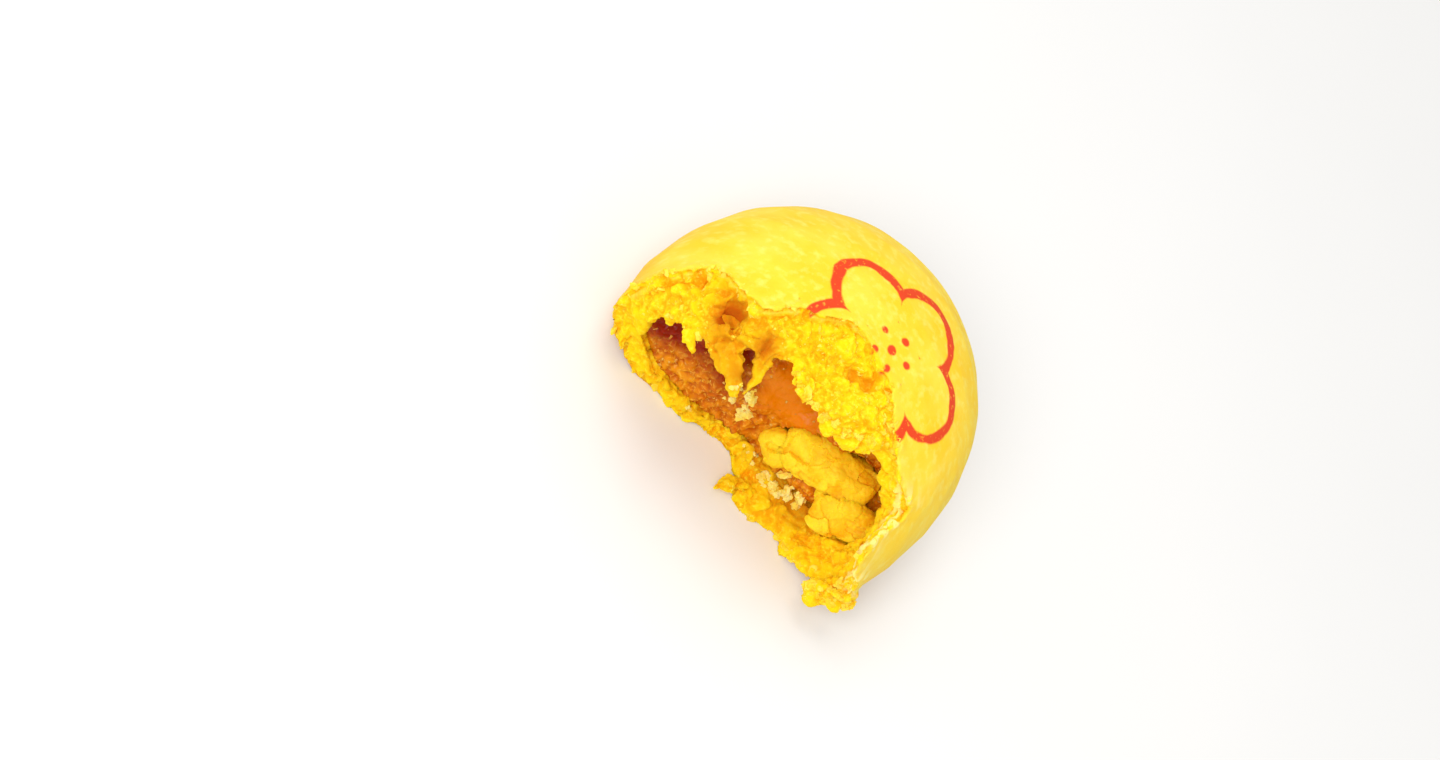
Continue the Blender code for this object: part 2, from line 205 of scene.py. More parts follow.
def breakFaces(piece):  # faces where the crumb is loosened stay flat, so it looks dry and broken
    torn = [value.value > 0.5 for value in piece.data.attributes["loosened"].data]
    for face in piece.data.polygons:
        face.use_smooth = not any(torn[corner] for corner in face.vertices)


def hexColour(code):
    parts = [int(code[k:k + 2], 16) / 255.0 for k in (1, 3, 5)]
    return [c / 12.92 if c <= 0.04045 else ((c + 0.055) / 1.055) ** 2.4 for c in parts] + [1.0]


def newMaterial(name, finish):
    material = bpy.data.materials.new(name)
    material.use_nodes = True
    shader = material.node_tree.nodes["Principled BSDF"]
    for key, value in finish.items():
        shader.inputs[key].default_value = value
    return material, material.node_tree, shader


def addNode(tree, kind, settings, links):
    node = tree.nodes.new("ShaderNode" + kind)
    for key, value in settings.items():
        if isinstance(key, str) and key not in node.inputs:
            setattr(node, key, value)
        else:
            node.inputs[key].default_value = hexColour(value) if isinstance(value, str) else value
    for key, source in links.items():
        if isinstance(source, bpy.types.Node):
            source = next(socket for socket in source.outputs if socket.enabled)
        tree.links.new(source, node.inputs[key])
    return node


# Camera at the photo's view. The torn half leans over there and rests level here, so the camera is
# rolled instead

camera = dict(
    distance=370.4, aside=7.87, raised=2.98, lens=71.65, sensor=36.0, right=(0.539, 0.637, 0.55),
    up=(-0.841, 0.446, 0.308))


def makeCamera():
    right = Vector(camera["right"]).normalized()
    back = right.cross(Vector(camera["up"])).normalized()
    up = back.cross(right)
    data = bpy.data.cameras.new("photoView")
    data.lens = camera["lens"]
    data.sensor_width = camera["sensor"]
    data.clip_start = 0.01
    data.clip_end = 10.0
    view = bpy.data.objects.new("photoView", data)
    away = back * camera["distance"] - right * camera["aside"] + up * camera["raised"]
    turned = Matrix((right, up, back)).transposed().to_4x4()
    stance = Matrix.Translation(pastryCentre + away * mm) @ turned
    view.matrix_world = stance
    bpy.context.scene.collection.objects.link(view)
    bpy.context.scene.camera = view
    bpy.context.scene.view_settings.view_transform = "Standard"
    print("camera placed")
    return stance


stance = makeCamera()
halfPhoto = (720.0, 380.0)  # half the photo's width and height in pixels


def sightline(x, y):  # direction from the camera through a pixel of the photo
    scale = camera["sensor"] / 2 / camera["lens"] / halfPhoto[0]
    ray = Vector(((x - halfPhoto[0]) * scale, (halfPhoto[1] - y) * scale, -1.0))
    return stance.to_3x3() @ ray.normalized()


def seenAt(x, y, pieces):  # place and normal where a photo pixel falls on the nearest of the pieces
    ray = sightline(x, y)
    seen = [piece.ray_cast(stance.translation, ray) for piece in pieces]
    hits = [(spot, normal) for hit, spot, normal, face in seen if hit]
    return min(hits, key=lambda found: (found[0] - stance.translation).length) if hits else None


def spotsOn(piece, table):  # photo pixel, radius and strength in the table become places on the piece
    placed = [(seenAt(x, y, [piece]), radius, rise) for (x, y), radius, rise in table]
    return [(found[0], radius, rise) for found, radius, rise in placed if found]


def cutGap(piece, middle, corners, reach):  # a gap through a thin part, its corners in photo pixels
    eye = stance.translation
    near = (seenAt(*middle, [piece])[0] - eye).length + reach[0] * mm
    shape = bmesh.new()
    front = shape.faces.new([shape.verts.new(eye + sightline(x, y) * near) for x, y in corners])
    grown = bmesh.ops.extrude_face_region(shape, geom=[front])["geom"]
    moved = [item for item in grown if isinstance(item, bmesh.types.BMVert)]
    bmesh.ops.translate(shape, verts=moved, vec=sightline(*middle) * (reach[1] - reach[0]) * mm)
    bmesh.ops.recalc_face_normals(shape, faces=shape.faces)
    tool = addPiece("gap", shape)
    step = piece.modifiers.new("gap", "BOOLEAN")
    step.object = tool
    applyModifiers(piece)
    bpy.data.objects.remove(tool)
    print("gap cut")


# Crust: baked shortcrust with a smooth yellow skin and a crumbly torn edge. Lengths are in mm. Each
# spot, and each spot of stain and painted shade, is a photo pixel, its radius and its strength;
# golden and brown are the heights between which the skin changes

crust = dict(
    voxel=0.19, triangles=196000, lump=3.4, lumpHeight=0.9, shard=1.8, shardHeight=0.35, grain=0.75,
    grainHeight=0.24, layer=0.6, layerHeight=0.4, thinEdge=(0.7, 2.8), skinDip=7.0,
    skinDipHeight=0.12, lip=0.22, lipSize=1.5, ragged=0.6, raggedSize=1.3, groove=0.6, patch=4.0,
    flakeHeight=0.12, backFrom=10.0, skinEdge=(-0.1, 0.25), skinDepth=(1.3, 0.7),
    scrapAngle=(335, 340), flakyAngles=((352, 358), (52, 42)), sideAngles=((322, 338), (50, 38)),
    archAngles=((108, 122), (178, 160)), shelterReach=5.0, gapMiddle=(746, 361),
    gapReach=(-2.0, 4.5), mottle=4.5, streak=1.1, speck=0.55, dimple=1.6, golden=(15, 3),
    brown=(3, -1), blend=6,
    gap=((738, 352), (746, 349), (755, 350), (754, 361), (748, 374), (743, 366)),
    spots=(
        ((790, 552), 2.2, 0.8), ((835, 562), 1.8, 0.7), ((764, 524), 1.6, 0.5),
        ((858, 548), 1.5, 0.5), ((812, 514), 2.4, -0.5), ((727, 317), 1.6, -1.1),
        ((858, 403), 2.4, 0.6), ((802, 388), 1.3, 0.5), ((822, 396), 1.6, 0.3),
        ((843, 330), 1.3, 0.4), ((853, 346), 1.3, 0.4), ((815, 342), 1.0, 0.5),
        ((836, 365), 0.8, -0.7), ((854, 376), 0.8, -0.8), ((868, 384), 0.8, -0.8),
        ((845, 392), 0.5, -0.5), ((818, 352), 0.8, -0.4), ((700, 284), 1.2, -0.5),
        ((722, 288), 1.0, -0.5)),
    # Spots of fruit stain and painted shade: the recess under the skin's edge, the flap, the strand,
    # creases
    stainAndShadeSpots=(
        ((727, 316), 2.0, 1.2), ((722, 344), 3.0, 0.6), ((738, 374), 1.8, 0.6),
        ((765, 350), 2.0, 0.8), ((768, 335), 1.5, 0.3), ((812, 512), 3.0, 0.5),
        ((700, 283), 1.3, 0.25), ((722, 288), 1.3, 0.3), ((790, 500), 2.6, 0.35),
        ((836, 365), 0.8, 0.4), ((854, 376), 0.9, 0.5), ((868, 384), 0.9, 0.5)),
    skin="#FACB2A", skinLight="#FBD746", skinSpeck="#FCE674", sides="#F2B429", baked="#C67A1C",
    # creaseShade is painted shade: the crumb turns this orange where its relief is low
    crumb="#F9CF10", crumbLight="#FCE434", creaseShade="#F1AA08", stain="#BE5E04", deep="#7E1602",
    pale="#FBE684")

stamp = dict(
    centre=(0.87, 0.67), firstTip=158.4, lobes=5, lobeRadius=5.2, lobeOut=7.3, core=5.0, line=1.35,
    unevenness=0.8, waver=0.55, waverSize=7.0, stamenOut=2.7, stamen=0.5, heart=0.7, soft=0.12,
    patch=2.6, above=(20, 21), ink="#E24824")


def shapeCrust():
    piece = mergedCopy("crust", "crust_baked")
    cutGap(piece, crust["gapMiddle"], crust["gap"], crust["gapReach"])
    remesh(piece, crust["voxel"])
    spots = spotsOn(piece, crust["spots"])
    stainAndShadeSpots = spotsOn(piece, crust["stainAndShadeSpots"])

    def move(point, normal):
        angle, y, depth = onPastry(point)
        behind = y - tearAt(angle) + wave(point, crust["raggedSize"]) * crust["ragged"]
        out = Vector((point.x - pastryCentre.x, 0.0, point.z - pastryCentre.z)).normalized()
        outside = normal.dot(out) > 0.2 or y > crust["backFrom"]
        skin = ease(*crust["skinEdge"], behind) * ease(*crust["skinDepth"], depth) if outside else 0.0
        scrap = ease(*crust["scrapAngle"], angle) * ease(0.1, -0.2, depth) * ease(3.0, 2.0, behind)
        skin *= 1.0 - scrap
        layers = noise.noise(Vector((angle * 0.06, depth / crust["layer"], y / crust["layer"] * 0.6)))
        flaky = sum(ease(*part, angle) for part in crust["flakyAngles"]) * ease(0.0, 0.15, layers)
        flaky *= ease(3.0, 1.5, depth)
        if skin == 1.0:
            dip = wave(point, crust["skinDip"]) * crust["skinDipHeight"]
            lip = ease(1.6, 0.0, abs(behind - 0.5)) * crust["lip"]
            lip *= max(wave(point, crust["lipSize"]) + 0.4, 0.0)
            flat = ease(0.4 * mm, 1.5 * mm, point.z)
            flaky *= ease(3.0, 0.5, behind)
            height = (dip + lip + crust["flakeHeight"] * flaky) * flat
            return height, {"crumb": 0.0, "relief": 1.0, "stain": 0.0, "pale": flaky, "loosened": 0.0}
        hidden = ease(6.0, 12.0, behind) * (1.0 - skin)
        torn = (1.0 - skin) * (1.0 - hidden)
        body = max(0.25 + 0.75 * ease(*crust["thinEdge"], thickness(piece, point, normal)), 0.7 * scrap)
        lump = clods(point, crust["lump"])
        shard = shards(point, crust["shard"])
        grain = beads(point, crust["grain"])
        loosened = 0.35 + 0.65 * ease(-0.15, 0.2, wave(point, crust["patch"]))
        side = sum(ease(*part, angle) for part in crust["sideAngles"]) * (1.0 - scrap)
        arch = math.prod(ease(*part, angle) for part in crust["archAngles"])
        rough = (lump - 0.55) * crust["lumpHeight"] * (1.0 - 0.5 * side) + shard * crust["shardHeight"]
        rough += layers * crust["layerHeight"] * (side + 0.6 * arch)
        rough = rough * body + (grain - 0.5) * crust["grainHeight"] * loosened + bumps(point, spots)
        under = ease(-1.6, -0.5, behind) * ease(0.0, -0.4, behind) * (side + arch)
        height = (rough - under * crust["groove"]) * torn
        # Relief is low between lumps and in the groove under the skin's edge; the material paints shade
        # there
        relief = 0.6 * lump + 0.25 * grain + 0.3 * (0.5 + shard) - 0.4 * under
        closed = shelter(piece, point, normal, crust["shelterReach"])
        # Fruit stain deep in the crust, plus painted shade where the space in front is closed off, plus
        # the spots
        soakedAndShaded = ease(3.0, 5.5, depth) * 0.15 + ease(0.2, 1.0, closed) * 0.18 + bumps(point, stainAndShadeSpots)
        return height, {"crumb": 1.0 - skin, "relief": relief, "stain": soakedAndShaded, "pale": flaky * 0.9,
                        "loosened": (1.0 - skin) * loosened}

    sculpt(piece, move)
    thin(piece, crust["triangles"])
    return piece


def stampedBlossom(tree, place):  # where the red stamp has inked the crown, as seen from above
    middle = pastryCentre + Vector((*stamp["centre"], 0.0)) * mm
    sway = addNode(tree, "TexNoise", {"Scale": 1.0 / (stamp["waverSize"] * mm), "Detail": 1.0},
                   {"Vector": place})
    sway = addNode(tree, "VectorMath", {"operation": "SUBTRACT", 1: (0.5, 0.5, 0.5)},
                   {0: sway.outputs["Color"]})
    sway = addNode(tree, "VectorMath", {"operation": "SCALE", "Scale": 2.0 * stamp["waver"] * mm},
                   {0: sway})
    flat = addNode(tree, "VectorMath", {"operation": "ADD"}, {0: place, 1: sway})
    flat = addNode(tree, "VectorMath", {"operation": "SUBTRACT", 1: middle}, {0: flat})
    flat = addNode(tree, "VectorMath", {"operation": "MULTIPLY", 1: (1.0, 1.0, 0.0)}, {0: flat})
    fromHeart = addNode(tree, "VectorMath", {"operation": "LENGTH"}, {0: flat})
    edge = addNode(tree, "Math", {"operation": "SUBTRACT", 1: stamp["core"] * mm}, {0: fromHeart})
    dots = addNode(tree, "Math", {"operation": "SUBTRACT", 1: stamp["heart"] * mm}, {0: fromHeart})
    for lobe in range(stamp["lobes"]):
        turn = math.radians(stamp["firstTip"]) + math.tau * lobe / stamp["lobes"]
        outward = Vector((math.cos(turn), math.sin(turn), 0.0)) * mm
        for reach, radius in ((stamp["lobeOut"], stamp["lobeRadius"]),
                              (stamp["stamenOut"], stamp["stamen"])):
            away = addNode(tree, "VectorMath", {"operation": "DISTANCE", 1: outward * reach}, {0: flat})
            away = addNode(tree, "Math", {"operation": "SUBTRACT", 1: radius * mm}, {0: away})
            if reach == stamp["lobeOut"]:
                edge = addNode(tree, "Math", {"operation": "MINIMUM"}, {0: edge, 1: away})
            else:
                dots = addNode(tree, "Math", {"operation": "MINIMUM"}, {0: dots, 1: away})
    line = addNode(tree, "Math", {"operation": "ABSOLUTE"}, {0: edge})
    line = addNode(tree, "Math", {"operation": "SUBTRACT", 1: stamp["line"] * 0.5 * mm}, {0: line})
    inked = addNode(tree, "Math", {"operation": "MINIMUM"}, {0: line, 1: dots})
    uneven = addNode(tree, "TexNoise", {"Scale": 1.0 / (stamp["patch"] * mm), "Detail": 3.0},
                     {"Vector": place})
    swing = 0.5 * stamp["unevenness"] * mm
    uneven = addNode(tree, "MapRange", {3: -swing, 4: swing}, {0: uneven})
    inked = addNode(tree, "Math", {"operation": "ADD"}, {0: inked, 1: uneven})
    inked = addNode(tree, "MapRange", {1: stamp["soft"] * mm, 2: -stamp["soft"] * mm}, {0: inked})
    height = addNode(tree, "SeparateXYZ", {}, {0: place})
    low, high = stamp["above"]
    above = addNode(tree, "MapRange", {1: low * mm, 2: high * mm}, {0: height.outputs["Z"]})
    return addNode(tree, "Math", {"operation": "MULTIPLY"}, {0: inked, 1: above})


def bakedShortcrust():
    # Shortcrust, egg-glazed thin and baked pale: a matt mottled skin, golden low down; loose and
    # bright where torn, with light passing a little way into it. Its pores are finer than a picture
    # shows, so the specks are drawn about twice their size
    finish = {"IOR": 1.4, "Specular IOR Level": 0.12, "Subsurface Weight": 0.3,
              "Subsurface Radius": (1.0, 0.55, 0.12), "Subsurface Scale": 0.8 * mm}
    material, tree, shader = newMaterial("bakedShortcrust", finish)
    place = addNode(tree, "TexCoord", {}, {}).outputs["Object"]
    tones = {tone: addNode(tree, "Attribute", {"attribute_name": tone}, {}).outputs["Fac"]
             for tone in ("crumb", "relief", "stain", "pale")}
    height = addNode(tree, "SeparateXYZ", {}, {0: place}).outputs["Z"]
    drawn = addNode(tree, "VectorMath", {"operation": "MULTIPLY", 1: (1.0, 1.0, 0.35)}, {0: place})
    mottle = addNode(tree, "TexNoise", {"Scale": 1.0 / (crust["mottle"] * mm), "Detail": 4.0},
                     {"Vector": drawn})
    streaks = addNode(tree, "TexNoise", {"Scale": 1.0 / (crust["streak"] * mm), "Detail": 4.0},
                      {"Vector": drawn})
    speck = addNode(tree, "TexNoise", {"Scale": 1.0 / (crust["speck"] * mm), "Detail": 3.0},
                    {"Vector": place})
    light = addNode(tree, "MapRange", {1: 0.35, 2: 0.65}, {0: mottle})
    skin = addNode(tree, "Mix", {"data_type": "RGBA", 6: crust["skin"], 7: crust["skinLight"]},
                   {0: light})
    bright = addNode(tree, "MapRange", {1: 0.5, 2: 0.8, 4: 0.7}, {0: streaks})
    skin = addNode(tree, "Mix", {"data_type": "RGBA", 7: crust["skinSpeck"]}, {0: bright, 6: skin})
    swing = addNode(tree, "MapRange", {3: -crust["blend"] * mm, 4: crust["blend"] * mm}, {0: mottle})
    low = addNode(tree, "Math", {"operation": "ADD"}, {0: height, 1: swing})
    sides = addNode(tree, "MapRange", {1: crust["golden"][0] * mm, 2: crust["golden"][1] * mm},
                    {0: low})
    skin = addNode(tree, "Mix", {"data_type": "RGBA", 7: crust["sides"]}, {0: sides, 6: skin})
    under = addNode(tree, "MapRange", {1: crust["brown"][0] * mm, 2: crust["brown"][1] * mm}, {0: low})
    skin = addNode(tree, "Mix", {"data_type": "RGBA", 7: crust["baked"]}, {0: under, 6: skin})
    taken = addNode(tree, "MapRange", {1: 0.15, 2: 0.4}, {0: speck})
    ink = addNode(tree, "Math", {"operation": "MULTIPLY"}, {0: stampedBlossom(tree, place), 1: taken})
    skin = addNode(tree, "Mix", {"data_type": "RGBA", 7: stamp["ink"]}, {0: ink, 6: skin})
    # Painted shade: the torn crumb takes the crease colour where its relief is low, between lumps and
    # under the skin's edge
    raised = addNode(tree, "MapRange", {1: 0.1, 2: 0.6}, {0: tones["relief"]})
    torn = addNode(tree, "Mix", {"data_type": "RGBA", 6: crust["creaseShade"], 7: crust["crumb"]},
                   {0: raised})
    bright = addNode(tree, "MapRange", {1: 0.5, 2: 0.75}, {0: speck})
    torn = addNode(tree, "Mix", {"data_type": "RGBA", 7: crust["crumbLight"]}, {0: bright, 6: torn})
    # Stain and painted shade: orange where stained or closed in, deep red in the recesses at the
    # strongest spots
    torn = addNode(tree, "Mix", {"data_type": "RGBA", 7: crust["stain"]}, {0: tones["stain"], 6: torn})
    depth = addNode(tree, "MapRange", {1: 1.0, 2: 1.8}, {0: tones["stain"]})
    torn = addNode(tree, "Mix", {"data_type": "RGBA", 7: crust["deep"]}, {0: depth, 6: torn})
    colour = addNode(tree, "Mix", {"data_type": "RGBA"}, {0: tones["crumb"], 6: skin, 7: torn})
    colour = addNode(tree, "Mix", {"data_type": "RGBA", 7: crust["pale"]},
                     {0: tones["pale"], 6: colour})
    tree.links.new(colour.outputs[2], shader.inputs["Base Color"])
    rough = addNode(tree, "MapRange", {3: 0.6, 4: 0.9}, {0: tones["crumb"]})
    tree.links.new(rough.outputs[0], shader.inputs["Roughness"])
    fine = addNode(tree, "Bump", {"Strength": 0.35, "Distance": 0.12 * mm}, {"Height": speck})
    dimples = addNode(tree, "TexNoise", {"Scale": 1.0 / (crust["dimple"] * mm), "Detail": 3.0},
                      {"Vector": place})
    dimples = addNode(tree, "Bump", {"Strength": 0.25, "Distance": 0.25 * mm},
                      {"Height": dimples, "Normal": fine})
    tree.links.new(dimples.outputs[0], shader.inputs["Normal"])
    return material


crustPiece = shapeCrust()
shortcrust = bakedShortcrust()
finishPiece(crustPiece, shortcrust, "baked_crust", "crust")
breakFaces(crustPiece)


# Pineapple filling: cooked fruit, moist, grainy and a little see-through. Lengths are in mm

fruit = dict(
    voxel=0.26, triangles=150000, grain=1.2, grainHeight=0.42, small=0.6, smallHeight=0.24,
    shard=1.9, shardHeight=0.5, swell=4.0, swellHeight=0.8, seal=0.42, smoothMiddle=(1.5, 3.5),
    smoothRadius=(4.0, 7.5), open=(0.4, 1.8), patch=4.0, thread=0.6,
    holes=(
        ((748, 364), 1.6, -2.4), ((777, 353), 0.8, -1.4), ((742, 384), 1.2, -0.8),
        ((676, 322), 1.8, -0.6), ((876, 490), 1.6, -0.7), ((864, 458), 1.4, -0.5)),
    # Painted shade: spots darkened deep red in the holes and under the crust's edge
    darkShadeSpots=(
        ((662, 326), 2.6, 0.9), ((684, 336), 2.4, 0.9), ((704, 350), 2.0, 0.8),
        ((722, 372), 2.0, 0.8), ((746, 364), 1.9, 1.0), ((736, 385), 1.5, 0.6),
        ((777, 353), 1.2, 0.8), ((755, 385), 1.2, 0.6), ((812, 395), 1.6, 0.3),
        ((870, 462), 1.8, 0.2), ((880, 490), 2.0, 0.2), ((845, 430), 1.6, 0.2)),
    # Painted light: the lower part of the filling is made yellower, as where more light reaches it
    litLowSpots=(
        ((700, 412), 2.6, 0.8), ((735, 440), 3.0, 0.8), ((755, 452), 3.0, 0.7),
        ((680, 392), 1.6, 0.4), ((785, 470), 3.0, 0.6)),
    lumps=(
        ((800, 405), 3.2, 0.6), ((705, 392), 2.4, 0.5), ((735, 428), 1.6, 0.4),
        ((672, 372), 1.8, 0.3)),
    amber="#D06C06", light="#E4900C", creaseShade="#BE5603", fibre="#F4B636", smooth="#E88404",
    low="#EAA20C", dark="#8E1E02")


def shapeFilling():
    piece = mergedCopy("pineapple_filling", "filling_pineapple")
    remesh(piece, fruit["voxel"])
    holes = spotsOn(piece, fruit["holes"])
    lumps = spotsOn(piece, fruit["lumps"])
    darkShadeSpots = spotsOn(piece, fruit["darkShadeSpots"])
    litLowSpots = spotsOn(piece, fruit["litLowSpots"])
    middle = fruit["smoothMiddle"]

    def move(point, normal):
        q = (point - pastryCentre) / mm
        covered, spot = crustPiece.ray_cast(point, normal, distance=fruit["open"][1] * mm)[:2]
        front = ease(*fruit["open"], (spot - point).length / mm) if covered else 1.0
        dark = min(bumps(point, darkShadeSpots), 1.0)
        low = min(bumps(point, litLowSpots), 1.0)
        if front == 0.0:
            return fruit["seal"], {"relief": 0.5, "plain": 0.0, "dark": dark, "low": low}
        near, far = fruit["smoothRadius"]
        smooth = ease(far, near, math.hypot(q.x - middle[0], q.z - middle[1]))
        grain = beads(point, fruit["grain"])
        small = beads(point, fruit["small"])
        rough = (grain - 0.5) * fruit["grainHeight"] + (small - 0.5) * fruit["smallHeight"]
        rough += shards(point, fruit["shard"]) * fruit["shardHeight"]
        rough = rough * (1.0 - 0.75 * smooth) + wave(point, fruit["swell"]) * fruit["swellHeight"]
        sunk = bumps(point, holes)
        height = (rough + sunk + bumps(point, lumps)) * front + fruit["seal"] * (1.0 - front)
        relief = 0.7 * grain + 0.3 * small
        return height, {"relief": relief, "plain": smooth, "dark": dark, "low": low}

    sculpt(piece, move)
    thin(piece, fruit["triangles"])
    return piece


def cookedPineapple():
    # Pineapple cooked down with sugar: amber, wet and grainy, so it glints and glows at its edges
    finish = {"Roughness": 0.22, "IOR": 1.42, "Specular IOR Level": 0.15, "Subsurface Weight": 0.4,
              "Subsurface Radius": (1.0, 0.35, 0.05), "Subsurface Scale": 1.0 * mm}
    material, tree, shader = newMaterial("cookedPineapple", finish)
    place = addNode(tree, "TexCoord", {}, {}).outputs["Object"]
    tones = {tone: addNode(tree, "Attribute", {"attribute_name": tone}, {}).outputs["Fac"]
             for tone in ("relief", "plain", "dark", "low")}
    patches = addNode(tree, "TexNoise", {"Scale": 1.0 / (fruit["patch"] * mm), "Detail": 3.0},
                      {"Vector": place})
    fibre = addNode(tree, "TexNoise", {"Scale": 1.0 / (fruit["thread"] * mm), "Distortion": 0.8},
                    {"Vector": place})
    light = addNode(tree, "MapRange", {1: 0.38, 2: 0.62}, {0: patches})
    colour = addNode(tree, "Mix", {"data_type": "RGBA", 6: fruit["amber"], 7: fruit["light"]},
                     {0: light})
    # Painted light: yellower at the low spots of the filling
    colour = addNode(tree, "Mix", {"data_type": "RGBA", 7: fruit["low"]}, {0: tones["low"], 6: colour})
    # Painted shade: the crease colour between the grains, where relief is low
    raised = addNode(tree, "MapRange", {1: 0.1, 2: 0.6}, {0: tones["relief"]})
    colour = addNode(tree, "Mix", {"data_type": "RGBA", 6: fruit["creaseShade"]}, {0: raised, 7: colour})
    threads = addNode(tree, "MapRange", {1: 0.52, 2: 0.75}, {0: fibre})
    colour = addNode(tree, "Mix", {"data_type": "RGBA", 7: fruit["fibre"]}, {0: threads, 6: colour})
    colour = addNode(tree, "Mix", {"data_type": "RGBA", 7: fruit["smooth"]},
                     {0: tones["plain"], 6: colour})
    # Painted shade: deep red at the spots in the holes and under the crust's edge
    colour = addNode(tree, "Mix", {"data_type": "RGBA", 7: fruit["dark"]},
                     {0: tones["dark"], 6: colour})
    tree.links.new(colour.outputs[2], shader.inputs["Base Color"])
    grainy = addNode(tree, "Bump", {"Strength": 0.5, "Distance": 0.15 * mm}, {"Height": fibre})
    tree.links.new(grainy.outputs[0], shader.inputs["Normal"])
    return material


fillingPiece = shapeFilling()
pineapple = cookedPineapple()
finishPiece(fillingPiece, pineapple, "pineapple_jam", "pineapple_filling")


# Custard pieces: firm baked custard, broken, moist and bright yellow. Lengths are in mm

custard = dict(
    voxel=0.16, lump=3.2, lumpHeight=0.05, shard=2.6, shardHeight=0.7, grain=0.6, grainHeight=0.1,
    swell=4.0, swellHeight=0.4, seal=0.25, patch=3.0, pore=0.5, body="#FBC00C", light="#FDDC2E",
    creaseShade="#F2A808",
    spots=(
        ((832, 450), 1.8, -0.6), ((850, 462), 1.5, -0.5), ((808, 462), 0.9, 0.4),
        ((822, 468), 0.9, 0.45), ((838, 477), 0.9, 0.45), ((852, 485), 0.9, 0.4),
        ((800, 446), 1.6, 0.3), ((822, 482), 0.9, -0.5), ((840, 493), 0.9, -0.5),
        ((820, 505), 0.9, 0.3), ((850, 522), 0.9, -0.3)),
    # Painted light: spots on the custard's upper faces made lighter, as if lit from above
    litSpots=(
        ((798, 440), 2.4, 0.9), ((780, 446), 2.2, 0.9), ((812, 456), 1.6, 0.8),
        ((828, 470), 1.2, 0.8), ((845, 480), 1.2, 0.7), ((858, 488), 1.0, 0.6),
        ((832, 515), 2.2, 0.7), ((845, 505), 1.6, 0.5)))


def shapeCustard(nodeName):
    piece = mergedCopy(nodeName, nodeName.replace("custard", "baked_custard"))
    remesh(piece, custard["voxel"])
    spots = spotsOn(piece, custard["spots"])
    litSpots = spotsOn(piece, custard["litSpots"])

    def move(point, normal):
        lump = clods(point, custard["lump"])
        shard = shards(point, custard["shard"])
        grain = beads(point, custard["grain"])
        height = (lump - 0.5) * custard["lumpHeight"] + shard * custard["shardHeight"] + custard["seal"]
        grainy = (grain - 0.5) * custard["grainHeight"]
        height += grainy + wave(point, custard["swell"]) * custard["swellHeight"]
        height += bumps(point, spots)
        relief = 0.5 * lump + 0.3 * grain + 0.3 * (0.5 + shard)
        # The bright tone is painted light on the upper faces
        return height, {"relief": relief, "bright": bumps(point, litSpots), "loosened": 1.0}

    sculpt(piece, move)
    return piece


def bakedCustard():
    # Custard baked firm: soft satin yellow, dense and moist, with orange painted shade in the creases
    # and painted light on its upper faces
    finish = {"Roughness": 0.5, "IOR": 1.4, "Specular IOR Level": 0.15, "Subsurface Weight": 0.5,
              "Subsurface Radius": (1.0, 0.5, 0.08), "Subsurface Scale": 1.4 * mm}
    material, tree, shader = newMaterial("bakedCustard", finish)
    place = addNode(tree, "TexCoord", {}, {}).outputs["Object"]
    relief = addNode(tree, "Attribute", {"attribute_name": "relief"}, {}).outputs["Fac"]
    patches = addNode(tree, "TexNoise", {"Scale": 1.0 / (custard["patch"] * mm), "Detail": 3.0},
                      {"Vector": place})
    light = addNode(tree, "MapRange", {1: 0.35, 2: 0.65}, {0: patches})
    colour = addNode(tree, "Mix", {"data_type": "RGBA", 6: custard["body"], 7: custard["light"]},
                     {0: light})
    # Painted shade: orange crease colour where the custard's relief is low
    raised = addNode(tree, "MapRange", {1: -0.1, 2: 0.5}, {0: relief})
    colour = addNode(tree, "Mix", {"data_type": "RGBA", 6: custard["creaseShade"]}, {0: raised, 7: colour})
    # Painted light: the light custard colour laid on the lit spots
    bright = addNode(tree, "Attribute", {"attribute_name": "bright"}, {}).outputs["Fac"]
    colour = addNode(tree, "Mix", {"data_type": "RGBA", 7: custard["light"]}, {0: bright, 6: colour})
    tree.links.new(colour.outputs[2], shader.inputs["Base Color"])
    pores = addNode(tree, "TexNoise", {"Scale": 1.0 / (custard["pore"] * mm), "Detail": 3.0},
                    {"Vector": place})
    pores = addNode(tree, "Bump", {"Strength": 0.4, "Distance": 0.12 * mm}, {"Height": pores})
    tree.links.new(pores.outputs[0], shader.inputs["Normal"])
    return material


custardLook = bakedCustard()
custardPieces = []
for nodeName in ("custard_slab", "custard_lump_low", "custard_lump_left"):
    custardPieces.append(shapeCustard(nodeName))
    finishPiece(custardPieces[-1], custardLook, "custard", nodeName)
    breakFaces(custardPieces[-1])


# Loose bits: crumbs and flakes on the torn edge, fruit grains and pale crumbs on the filling. Sizes
# are in mm; a row is a photo pixel, its spread in pixels and the number of bits

